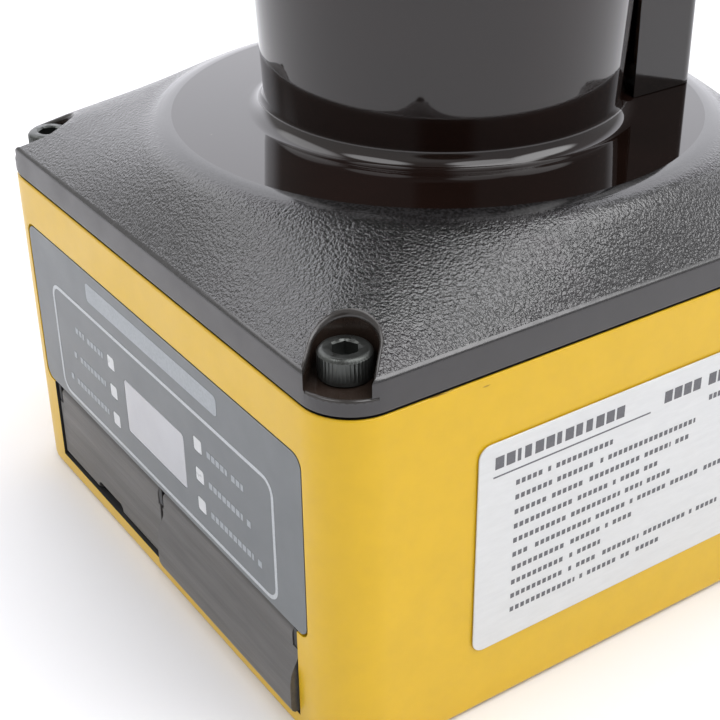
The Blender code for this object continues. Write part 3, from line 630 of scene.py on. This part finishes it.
def cover_loops():
    """Loops and band materials: 0 satin, 1 grain, 2 gloss, 3 edge."""
    loops = []
    bands = []

    def add(points, height, band):
        loops.append(raised(points, height))
        bands.append(band)

    add(square_loop(HALF - 0.3, CORNER - 0.3), FLANGE_BOTTOM, 0)
    add(square_loop(HALF - 0.08, CORNER - 0.08), FLANGE_BOTTOM + 0.1, 0)
    add(OUTLINE, FLANGE_BOTTOM + 0.35, 0)
    add(OUTLINE, FLANGE_TOP - 0.62, 0)
    add(square_loop(HALF - 0.04, CORNER - 0.04), FLANGE_TOP - 0.42, 3)
    add(square_loop(HALF - 0.17, CORNER - 0.17), FLANGE_TOP - 0.2, 3)
    edge = square_loop(HALF - 0.4, CORNER - 0.4)
    inner = round_loop(SHOULDER_R, PLATEAU_Y)
    for step in range(13):
        share = 1 - step / 12
        add(blended(inner, edge, share), shoulder_height(share), 1)
    for radius, drop in ((34.0, 0.39), (33.5, 0.22), (33.0, 0.10), (32.5, 0.03), (32.06, 0.003)):
        add(round_loop(radius, PLATEAU_Y), PLATEAU_Z - drop, 1)
    add(round_loop(PLATEAU_R, PLATEAU_Y), PLATEAU_Z, 2)
    add(round_loop(WINDOW_R + WINDOW_FILLET + 1.0), PLATEAU_Z, 2)
    centre = (WINDOW_R + WINDOW_FILLET, PLATEAU_Z + WINDOW_FILLET)
    for radius, height in arc(centre, WINDOW_FILLET, 270, 180, 14):
        add(round_loop(radius), height, 2)
    for radius, height in ((WINDOW_TOP_R, WINDOW_TOP - 0.4),
                           (WINDOW_TOP_R - 0.12, WINDOW_TOP - 0.12),
                           (WINDOW_TOP_R - 0.4, WINDOW_TOP), (BORE_TOP_R, WINDOW_TOP),
                           (BORE_R, PLATEAU_Z), (BORE_R, 54.3), (20.6, 53.5), (31.5, 53.5)):
        add(round_loop(radius), height, 2)
    skirt = square_loop(36.6, 20.0)
    add(skirt, FLANGE_TOP - 0.5, 0)
    add(skirt, FLANGE_BOTTOM, 0)
    return loops, bands


def pocket_outline(x, y, grow=0.0):
    """Arched slot round a screw that opens towards the nearest outer corner."""
    outward = math.degrees(math.atan2(y, x))
    points = arc((x, y), POCKET_R + grow, outward + 90, outward + 270, 36)
    reach = Vector((x, y)).normalized() * 14
    side = Vector((-reach.y, reach.x)).normalized() * (POCKET_R + 0.45 + grow)
    far = Vector((x, y)) + reach
    first, last = Vector(points[0]), Vector(points[-1])
    for step in range(1, 17):
        points.append(tuple(last.lerp(far - side, step / 16)))
    for step in range(16, 0, -1):
        points.append(tuple(first.lerp(far + side, step / 16)))
    return points


# How far the pocket's rim opens out, and how high that is over the shoulder, from the floor up
RIM = ((0.0, -0.62), (0.04, -0.38), (0.13, -0.19), (0.29, -0.05), (0.48, 0.05))


def pocket_tool(index, x, y, surface):
    """Slot with a rolled rim that follows the shoulder's height."""
    loops = [raised(pocket_outline(x, y), POCKET_FLOOR)]
    for grow, lift in RIM:
        loop = []
        for px, py in pocket_outline(x, y, grow):
            hit = surface.ray_cast(Vector((px, py, 60)) * MM, Vector((0, 0, -1)))[0]
            height = max(FLANGE_TOP, hit.z / MM) if hit else FLANGE_TOP
            loop.append((px, py, height + lift))
        loops.append(loop)
    loops.append(raised(pocket_outline(x, y, RIM[-1][0]), PLATEAU_Z + 3))
    bm = bmesh.new()
    add_loft(bm, loops, (0, 1, 1, 1, 1, 1), closed=False, cap_start=True, cap_end=True)
    return make_piece("pocket_tool_%d" % index, bm, ["pocket", "rim"], None)


def lip_tool(index, sign_x, sign_y):
    """Rounds the outer edge of a pocket's floor along the flange's corner."""
    section = ((-0.34, 0.06), (-0.34, 0.0), (-0.2, -0.02), (-0.09, -0.09), (-0.02, -0.2),
               (0.0, -0.34), (0.12, -0.34), (0.12, 0.06))
    centre = HALF - CORNER
    loops = []
    for step in range(19):
        angle = math.radians(8 + 74 * step / 18)
        across, along = math.cos(angle), math.sin(angle)
        loops.append([(sign_x * (centre + (CORNER + out) * across),
                       sign_y * (centre + (CORNER + out) * along), POCKET_FLOOR + lift)
                      for out, lift in section])
    bm = bmesh.new()
    add_loft(bm, loops, closed=False, cap_start=True, cap_end=True)
    return make_piece("lip_tool_%d" % index, bm, ["rim"], None)


def make_window_cover():
    loops, bands = cover_loops()
    bm = bmesh.new()
    add_loft(bm, loops, bands)
    cover = make_piece("window_shell", bm, ["satin", "grain", "gloss", "edge"], None)
    mesh = cover.data
    surface = BVHTree.FromPolygons([vert.co for vert in mesh.vertices],
                                   [face.vertices for face in mesh.polygons])
    cuts = []
    for index, (x, y) in enumerate(SCREW_PLACES):
        cuts.append(pocket_tool(index, x, y, surface))
        cuts.append(lip_tool(index, math.copysign(1, x), math.copysign(1, y)))
    cuts.append(tool_rods("flange_holes", 1.6, (FLANGE_BOTTOM - 1, POCKET_FLOOR + 1),
                          SCREW_PLACES, material="pocket"))
    cuts.append(tool_box("ribbon_slot", RIBBON_X, (25.9, 27.8), (50, PLATEAU_Z + 2),
                         material="gloss"))
    combine(cover, cuts)
    smooth(cover.data, 40.0)
    normals = cover.modifiers.new("normals", "WEIGHTED_NORMAL")
    normals.keep_sharp = True
    evaluated(cover)
    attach(cover, "scanner_body")
    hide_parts("window_cover")


# Screws

def hexagon_radius(angle, apothem):
    turn = math.radians(60)
    return apothem / math.cos((angle + turn / 2) % turn - turn / 2)


def add_screw(bm, x, y, seat, head_r, head_h, apothem, shank_r, length, teeth, twist=0.0):
    """Cap screw with a knurled head, rounded rim, countersunk hexagon socket and shank."""
    steps = teeth * 4
    depth = head_h * 0.52
    top = seat + head_h
    wide = apothem / math.cos(math.radians(30))
    rings = [("hex", apothem, top - depth), ("hex", apothem, top - 0.16),
             ("round", wide + 0.12, top), ("round", head_r - 0.62, top),
             ("round", head_r - 0.40, top - 0.03), ("round", head_r - 0.2, top - 0.16),
             ("round", head_r - 0.1, top - 0.32), ("knurl", head_r, top - 0.42),
             ("knurl", head_r, seat + 0.5), ("round", head_r - 0.08, seat + 0.38),
             ("round", head_r - 0.1, seat + 0.1), ("round", head_r - 0.25, seat),
             ("round", shank_r, seat), ("round", shank_r, seat - length + 0.4),
             ("round", shank_r - 0.3, seat - length)]
    loops = []
    for kind, radius, height in rings:
        loop = []
        for index in range(steps):
            angle = math.tau * index / steps
            size = radius
            if kind == "hex":
                size = hexagon_radius(angle + twist, radius)
            elif kind == "knurl":
                size = radius - 0.06 * (0, 0.6, 1, 0.6)[index % 4]
            loop.append((x + size * math.cos(angle), y + size * math.sin(angle), height))
        loops.append(loop)
    add_loft(bm, loops, closed=False, cap_start=True, cap_end=True)


def make_screws():
    random.seed(7)
    twists = (0.4, 0.9, 0.05, 0.7)
    for index, (x, y) in enumerate(SCREW_PLACES):
        name = "window_screw_%d" % (index + 1)
        bm = bmesh.new()
        add_screw(bm, x, y, POCKET_FLOOR + 0.1, 2.75, 3.0, 1.25, 1.2, 12.0, 44,
                  twists[index])
        make_piece("cap_screw_%d" % (index + 1), bm, ["oxide"], "scanner_body",
                   [name], 28.0)
    for index, (x, y) in enumerate(corners(POST_XY)):
        name = "chassis_screw_%d" % (index + 1)
        bm = bmesh.new()
        add_screw(bm, x, y, 43.5, 2.2, 1.8, 1.0, 1.0, 9.0, 36, random.uniform(0, 1))
        make_piece("button_screw_%d" % (index + 1), bm, ["oxide"], "scanner_body",
                   [name], 28.0)


# Operator panel

LED_X = 11.2
LED_ROWS = (18.7, 22.85, 27.0)


def light_places():
    """Middle of each status light as (x, z)."""
    return [(side * LED_X, height) for side in (-1, 1) for height in LED_ROWS]


def around(centre, half):
    return (centre - half, centre + half)


def make_panel():
    bm = bmesh.new()
    add_box(bm, (-33.6, 33.6), (FACE, -39.3), (14.6, 37.6), 1.6, 1, 10)
    panel = make_piece("panel_plate", bm, ["panel"], None)
    through = (-41, -38.5)
    cuts = [tool_box("lens_hole", (-7.7, 7.7), through, (18.9, 26.5), 0.5, 1, "panel")]
    for x, z in light_places():
        cuts.append(tool_box("led_hole", around(x, 0.95), through, around(z, 0.95), 0.3, 1,
                             "panel"))
    combine(panel, cuts)
    soften(panel, 0.1, 40.0)
    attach(panel, "scanner_body")
    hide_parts("front_panel")
    make_lenses()
    make_panel_print()


def make_lenses():
    """Flush lenses that fill the panel's openings."""
    bm = bmesh.new()
    add_box(bm, (-7.66, 7.66), (FACE, -38.8), (18.94, 26.46), 0.45, 1)
    lens = make_piece("display_lens", bm, ["lens"], None)
    soften(lens, 0.06, 40.0)
    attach(lens, "scanner_body")
    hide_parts("display_window")
    bm = bmesh.new()
    for x, z in light_places():
        add_box(bm, around(x, 0.92), (FACE, -39.2), around(z, 0.92), 0.28, 1, 3)
    lights = make_piece("status_lenses", bm, ["led"], None)
    soften(lights, 0.05, 40.0)
    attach(lights, "scanner_body")


def flat_loop(half_x, z, radius, steps=8):
    """Rounded rectangle as (x, z) points."""
    points = []
    for centre, start in (((half_x - radius, z[1] - radius), 0),
                          ((-half_x + radius, z[1] - radius), 90),
                          ((-half_x + radius, z[0] + radius), 180),
                          ((half_x - radius, z[0] + radius), 270)):
        points += arc(centre, radius, start, start + 90, steps)
    return points


def make_panel_print():
    """Outline, a plain bar where a name would be, and plain dashes where legends would be."""
    back, front = FACE - 0.002, FACE - 0.025
    bm = bmesh.new()
    outer = flat_loop(27.95, (15.25, 31.5), 2.1)
    inner = flat_loop(27.45, (15.75, 31.0), 1.6)
    loops = [[(x, depth, z) for x, z in points]
             for points, depth in ((outer, back), (outer, front), (inner, front), (inner, back))]
    add_loft(bm, loops)
    make_piece("panel_outline", bm, ["silver_ink"], "scanner_body")
    bm = bmesh.new()
    add_box(bm, (-16.5, 16.5), (front, back), (33.4, 36.0), 0.6, 1)
    make_piece("panel_bar", bm, ["pale_ink"], "scanner_body")
    bm = bmesh.new()
    for height, words in zip(reversed(LED_ROWS), ((4.6, 2.6), (7.6, 1.0), (9.6, 1.0))):
        for side in (-1, 1):
            start = 13.4
            for length in words:
                spans = sorted((side * start, side * (start + length)))
                add_dashes(bm, spans, (front, back), height, 1)
                start += length + 0.9
    make_piece("panel_legends", bm, ["pale_ink"], "scanner_body")


def add_dashes(bm, span, depth, height, axis, tall=0.85, unit=0.78, gap=0.24):
    """A word's worth of short plain dashes between two ends of a line."""
    place = span[0]
    while place < span[1] - 0.2:
        end = min(place + unit, span[1])
        if axis == 1:
            add_box(bm, (place, end), depth, (height - tall / 2, height + tall / 2))
        else:
            add_box(bm, depth, (place, end), (height - tall / 2, height + tall / 2))
        place = end + gap


# Label

LABEL_X = (40.1, 40.3)
LABEL_INK_X = (40.295, 40.32)
LABEL_LEFT = -22.9
LINE_START = -17.9
LINE_PITCH = 1.89


def make_label():
    bm = bmesh.new()
    add_box(bm, LABEL_X, (LABEL_LEFT, 27.1), (8.8, 35.7), 1.5, 0, 8)
    label = make_piece("label_sheet", bm, ["label"], None)
    soften(label, 0.06, 40.0)
    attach(label, "scanner_body")
    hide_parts("product_label")
    make_label_print()


def make_label_print():
    """Plain dashes where the label's words and figures would be, and one rule."""
    depth = LABEL_INK_X
    bm = bmesh.new()
    place = -20.8
    for length in (3.4, 0.9, 3.6, 2.4, 0.9, 4.6):
        add_dashes(bm, (place, place + length), depth, 33.2, 0, 1.5, 1.15, 0.32)
        place += length + 0.5
    add_dashes(bm, (3.0, 8.6), depth, 32.7, 0, 1.5, 1.15, 0.32)
    add_dashes(bm, (9.8, 22.0), depth, 32.7, 0, 1.5, 1.15, 0.32)
    add_box(bm, depth, (-21.0, 1.0), (31.42, 31.6))
    add_dashes(bm, (10.2, 17.0), depth, 30.2, 0, 0.7, 0.5, 0.2)
    make_piece("label_heading", bm, ["dark_ink"], "scanner_body")
    lines = ((3.6, 0.4, 8.0), (5.0, 5.4, 0.4, 13.2), (4.4, 4.6, 7.4, 4.0, 2.2),
             (8.2, 4.4, 0.4, 2.8, 2.0), (7.4, 7.2, 2.6, 3.6), (2.4, 8.0, 4.4, 0.4, 4.4, 4.6, 5.0),
             (7.6, 4.4, 0.4, 3.0), (7.6, 0.4, 3.4), (7.6, 0.4, 3.2, 5.6, 6.6, 0.4, 3.4, 3.6),
             (9.4, 0.4, 4.4, 1.6, 3.8))
    bm = bmesh.new()
    height = 29.75
    for words in lines:
        place = LINE_START
        for length in words:
            add_dashes(bm, (place, place + length), depth, height, 0, 0.62, 0.5, 0.26)
            place += length + 0.75
        height -= LINE_PITCH
    make_piece("label_lines", bm, ["dark_ink"], "scanner_body")


# Service covers

HINGE = (-38.7, 12.9)
KNUCKLE_R = 1.05
PIN_HOLE_R = 0.65
COVER_BOTTOM = 2.7
LEFT_COVER_X = (-31.2, -1.1)
RIGHT_COVER_X = (-0.4, 31.2)
EARS = ((-31.2, -30.5), (-1.15, -0.35), (30.5, 31.2))
EAR_SLOT_Z = (11.4, 15.05)
EAR_CLEARANCE = 0.3


def cover_outline(front):
    """The (y, z) outline of a cover: a knuckle round the hinge, then the front's points."""
    return arc(HINGE, KNUCKLE_R, 0, 180, 16) + front + [(HINGE[0] + KNUCKLE_R, COVER_BOTTOM)]


def make_cover(name, node, body, x, front, ears, extra):
    bm = bmesh.new()
    add_extrusion(bm, cover_outline(front), x, 0)
    cover = make_piece(name, bm, ["cover"], None)
    cuts = [tool_box("ear_slot", (ear[0] - EAR_CLEARANCE, ear[1] + EAR_CLEARANCE), (-42, -36),
                     EAR_SLOT_Z, material="cover") for ear in ears]
    cuts.append(tool_rods("pin_hole", PIN_HOLE_R, (x[0] - 1, x[1] + 1), [HINGE], 0, 24,
                          "cover"))
    combine(cover, cuts + extra)
    soften(cover, 0.16, 40.0)
    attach(cover, body)
    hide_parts(node)


def rounding_tool(name, x, z, radius):
    """Tool that rounds a plate's lower left corner; the plate lies across Y."""
    centre = (x + radius, z + radius)
    outline = [(x - 1, z + radius)] + arc(centre, radius, 180, 270, 10)
    outline += [(x + radius, z - 1), (x - 1, z - 1)]
    bm = bmesh.new()
    add_extrusion(bm, outline, (-42, -36), 1)
    return make_piece(name, bm, ["cover"], None)


def make_covers():
    face = HINGE[0] - KNUCKLE_R
    flat = [(face, 3.1), (face + 0.4, COVER_BOTTOM)]
    notch = [tool_box("finger_notch", (-20.5, -13.2), (-42, HINGE[0]), (1, 4.0), 0.8, 1, "cover")]
    make_cover("cover_left", "service_cover_left", "left_cover", LEFT_COVER_X, flat, EARS[:2],
               notch)
    grip = [(face, 10.3), (-39.95, 9.75), (-40.3, 9.1), (-40.68, 8.1), (-40.86, 7.0),
            (-40.9, 6.2), (-40.9, 3.6), (-40.75, 3.05), (-40.4, COVER_BOTTOM)]
    corner = [rounding_tool("cover_corner", RIGHT_COVER_X[0], COVER_BOTTOM, 1.3)]
    make_cover("cover_right", "service_cover_right", "right_cover", RIGHT_COVER_X, grip, EARS[1:],
               corner)


# Head

CAP_R = 25.0
CAP_BOTTOM = 86.3
CAP_TOP = 95.0
CAP_ROOF = 91.6
SKIRT_R = (18.65, 20.65)
SKIRT_BOTTOM = 83.6
CAP_REAR = 31.9
PILLAR_REAR = 31.4


def make_cap():
    profile = [(0, CAP_TOP), (17.0, CAP_TOP), (20.4, 94.55), (22.7, 93.55), (24.1, 91.8),
               (CAP_R, 89.8), (CAP_R, 86.9), (24.4, CAP_BOTTOM), (SKIRT_R[1], CAP_BOTTOM),
               (SKIRT_R[1], SKIRT_BOTTOM), (SKIRT_R[0], SKIRT_BOTTOM), (SKIRT_R[0], CAP_BOTTOM),
               (12.2, CAP_BOTTOM), (12.2, CAP_ROOF), (0, CAP_ROOF)]
    radii = [0, 2.5, 1.2, 1.0, 1.0, 1.2, 0.35, 0.35, 0, 0.2, 0.2, 0, 0, 0.3, 0]
    bm = bmesh.new()
    add_turned(bm, rounded(profile, radii, 5))
    cap = make_piece("cap_shell", bm, ["cap"], None)
    bm = bmesh.new()
    add_box(bm, (-13.9, 13.9), (16.0, CAP_REAR), (CAP_BOTTOM, 93.5), 2.5, 2, 10)
    tail = make_piece("cap_tail", bm, ["cap"], None)
    cuts = [tool_box("cap_channel", RIBBON_X, (9, 28.5), (88.6, 91.4), material="cap"),
            tool_box("cap_drop", RIBBON_X, (25.7, 28.5), (80, 90), material="cap")]
    combine(cap, cuts, [tail])
    soften(cap, 0.3, 35.0, 3)
    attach(cap, "scanner_body")
    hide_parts("top_cap")


def make_pillar():
    bm = bmesh.new()
    add_box(bm, (-13.5, 13.5), (14.0, PILLAR_REAR), (PLATEAU_Z + 0.03, WINDOW_TOP), 2.2, 2,
            10)
    pillar = make_piece("pillar_shell", bm, ["pillar"], None)
    cuts = [tool_rods("scoop", WINDOW_TOP_R + 0.4, (50, 90), [(0, AXIS_Y)], sides=144,
                      material="pillar"),
            tool_box("channel", RIBBON_X, (22, 28.5), (50, 90), material="pillar")]
    for height in (62.0, 66.0, 70.0, 74.0, 78.0):
        cuts.append(tool_box("rib_groove", (-8.5, 8.5), (30.9, 33), (height, height + 1.4),
                             material="pillar"))
    combine(pillar, cuts)
    soften(pillar, 0.25, 35.0, 2)
    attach(pillar, "scanner_body")
    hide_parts("rear_pillar")


# Rear fittings

BARREL_R = 6.8
BORE = 5.3
NUT_R = 10.5
NUT_GRIPS = 40
THREAD_PITCH = 0.75
PLUG_R = 4.6


def ring_loops(rings, centre_x, steps, size_at):
    """Loops round the Y axis from (radius, depth) rings; size_at gives each point's own radius."""
    loops = []
    for radius, depth in rings:
        loop = []
        for index in range(steps):
            angle = math.tau * index / steps
            size = size_at(index, radius)
            loop.append((centre_x + size * math.cos(angle), depth,
                         CONNECTOR_Z + size * math.sin(angle)))
        loops.append(loop)
    return loops


def make_connector():
    """Threaded barrel with a fluted flange nut; the profile's depths count from the rear face."""
    profile = [(BORE, 9.0), (6.4, 9.0), (BARREL_R, 8.6)]
    height = 8.2
    while height > 3.4:
        profile += [(BARREL_R, height), (6.45, height - 0.3), (BARREL_R, height - 0.6)]
        height -= THREAD_PITCH
    profile += [(BARREL_R, 2.3), (10.2, 2.3), (NUT_R, 2.0), (NUT_R, 0.6), (10.2, 0.3), (7.9, 0.3),
                (7.9, -8.0), (BORE, -8.0)]
    steps = 240

    def fluted(index, radius):
        if radius != NUT_R:
            return radius
        return radius - 0.14 * (0.5 - 0.5 * math.cos(math.tau * index / steps * NUT_GRIPS))

    bm = bmesh.new()
    rings = [(radius, HALF + depth) for radius, depth in profile]
    add_loft(bm, ring_loops(rings, 0.0, steps, fluted))
    make_piece("connector_shell", bm, ["nickel"], "scanner_body", ["rear_connector"])


def make_vent():
    rings = [(0.01, 42.2), (3.5, 42.2), (3.8, 42.1), (4.3, 41.7), (PLUG_R, 41.3), (PLUG_R, 40.3),
             (2.8, 40.3), (2.8, 35.0), (0.01, 35.0)]

    def ribbed(index, radius):
        return radius - 0.25 * (index % 8 < 4) if radius == PLUG_R else radius

    bm = bmesh.new()
    add_loft(bm, ring_loops(rings, VENT_X, 96, ribbed), closed=False, cap_start=True, cap_end=True)
    make_piece("vent_cap", bm, ["dark"], "scanner_body", ["vent_plug"])


# Materials of the CAD nodes that stay, by the name that the frame gives them

KEPT = {
    "gasket_rubber": "rubber", "display_lens": "lens", "light_guide": "led",
    "dark_grey_plastic": "dark", "steel": "steel", "black_oxide_steel": "oxide",
    "machined_aluminium": "aluminium", "black_anodised": "anodised", "mirror_coating": "mirror",
    "optical_glass": "glass", "circuit_board": "board", "copper_winding": "copper",
    "magnet": "magnet", "gold_contact": "gold", "flex_film": "flex", "cap_plastic": "cap",
    "yellow_paint": "yellow", "black_polycarbonate": "gloss", "panel_grey": "panel",
    "label_white": "label",
}


def dress_nodes():
    for name, obj in NODES.items():
        old = obj.data.materials[0].name.split(".")[0] if obj.data.materials else ""
        key = KEPT.get(old)
        if key is None:
            raise RuntimeError("no finish for %s, %s" % (name, old))
        for slot in obj.material_slots:
            slot.link = "OBJECT"
            slot.material = MATERIALS[key]


# Camera, floor and light

def make_camera():
    data = bpy.data.cameras.new("camera")
    camera = bpy.data.objects.new("camera", data)
    bpy.context.scene.collection.objects.link(camera)
    # Heading clockwise from +Y, dip below the horizon and tilt, in radians
    yaw, pitch, roll = -0.98422, 0.52688, 0.01415
    ahead = Vector((math.sin(yaw) * math.cos(pitch), math.cos(yaw) * math.cos(pitch),
                    -math.sin(pitch)))
    level = Vector((math.cos(yaw), -math.sin(yaw), 0))
    down = ahead.cross(level)
    right = math.cos(roll) * level + math.sin(roll) * down
    up = math.sin(roll) * level - math.cos(roll) * down
    turn = Matrix((right, up, -ahead)).transposed()
    camera.matrix_world = Matrix.Translation((0.13373, -0.09929, 0.11626)) @ turn.to_4x4()
    data.sensor_width = 36.0
    data.lens = 71.92
    data.clip_start = 0.005
    data.clip_end = 50.0
    bpy.context.scene.camera = camera


def make_floor():
    bm = bmesh.new()
    bmesh.ops.create_circle(bm, cap_ends=True, segments=96, radius=6000.0)
    floor = make_piece("studio_floor", bm, ["oxide"], None)
    floor.location.z = -0.0002
    graph = finish("floor_white", rgb(234, 234, 236), 0.7, mottle=(3.0, 0.01), spread=0.05)
    floor.data.materials[0] = graph.material


# Soft lights in the tent, each laid over the ones before: where it is, the angles from there in
# degrees at which it starts and is full, and its colour
TENT_LIGHTS = (
    ((-0.72, 0.479, 0.35), 52, 33, (3.6, 3.6, 3.8)),
    ((0.0, 0.0, 1.0), 45, 20, (0.55, 0.54, 0.53)),
    ((-0.665, -0.35, 0.66), 21, 11, (4.9, 4.9, 5.0)),
    ((0.19, 0.26, 0.95), 19, 11, (8.0, 8.0, 8.1)),
    ((0.50, 0.48, 0.72), 21, 12, (9.0, 9.0, 9.1)),
    ((0.50, 0.0, 0.86), 17, 10, (6.5, 6.5, 6.6)),
    ((-0.08, -0.48, 0.87), 17, 10, (6.5, 6.5, 6.6)),
    ((0.833, -0.553, 0.35), 22, 12, (0.10, 0.09, 0.08)),
)


def make_world():
    """Even pale tent with a bright wall behind the scanner and soft panels above it."""
    world = bpy.data.worlds.new("tent")
    bpy.context.scene.world = world
    world.use_nodes = True
    tree = world.node_tree
    sky = tree.nodes["Background"]
    direction = tree.nodes.new("ShaderNodeTexCoord").outputs["Generated"]

    def lobe(towards, start, full):
        """Share from 0 to 1 as a direction comes within start, then full, degrees."""
        dot = tree.nodes.new("ShaderNodeVectorMath")
        dot.operation = "DOT_PRODUCT"
        tree.links.new(direction, dot.inputs[0])
        dot.inputs[1].default_value = Vector(towards).normalized()
        ramp = tree.nodes.new("ShaderNodeMapRange")
        ramp.interpolation_type = "SMOOTHSTEP"
        tree.links.new(dot.outputs["Value"], ramp.inputs[0])
        ramp.inputs[1].default_value = math.cos(math.radians(start))
        ramp.inputs[2].default_value = math.cos(math.radians(full))
        return ramp.outputs[0]

    def mixed(share, first, second):
        node = tree.nodes.new("ShaderNodeMix")
        node.data_type = "RGBA"
        tree.links.new(share, node.inputs[0])
        for index, value in ((6, first), (7, second)):
            if isinstance(value, bpy.types.NodeSocket):
                tree.links.new(value, node.inputs[index])
            else:
                node.inputs[index].default_value = (*value, 1.0)
        return node.outputs[2]

    color = mixed(lobe((-0.3, -1.0, 0.75), 75, 30), (1.0, 1.0, 1.02), (1.2, 1.19, 1.18))
    for towards, start, full, light in TENT_LIGHTS:
        color = mixed(lobe(towards, start, full), color, light)
    tree.links.new(color, sky.inputs["Color"])
    sky.inputs["Strength"].default_value = 0.54


make_camera()
make_floor()
make_world()
bpy.context.scene.view_settings.view_transform = "Standard"

dress_nodes()
make_housing()
make_window_cover()
make_screws()
make_panel()
make_label()
make_covers()
make_cap()
make_pillar()
make_connector()
make_vent()
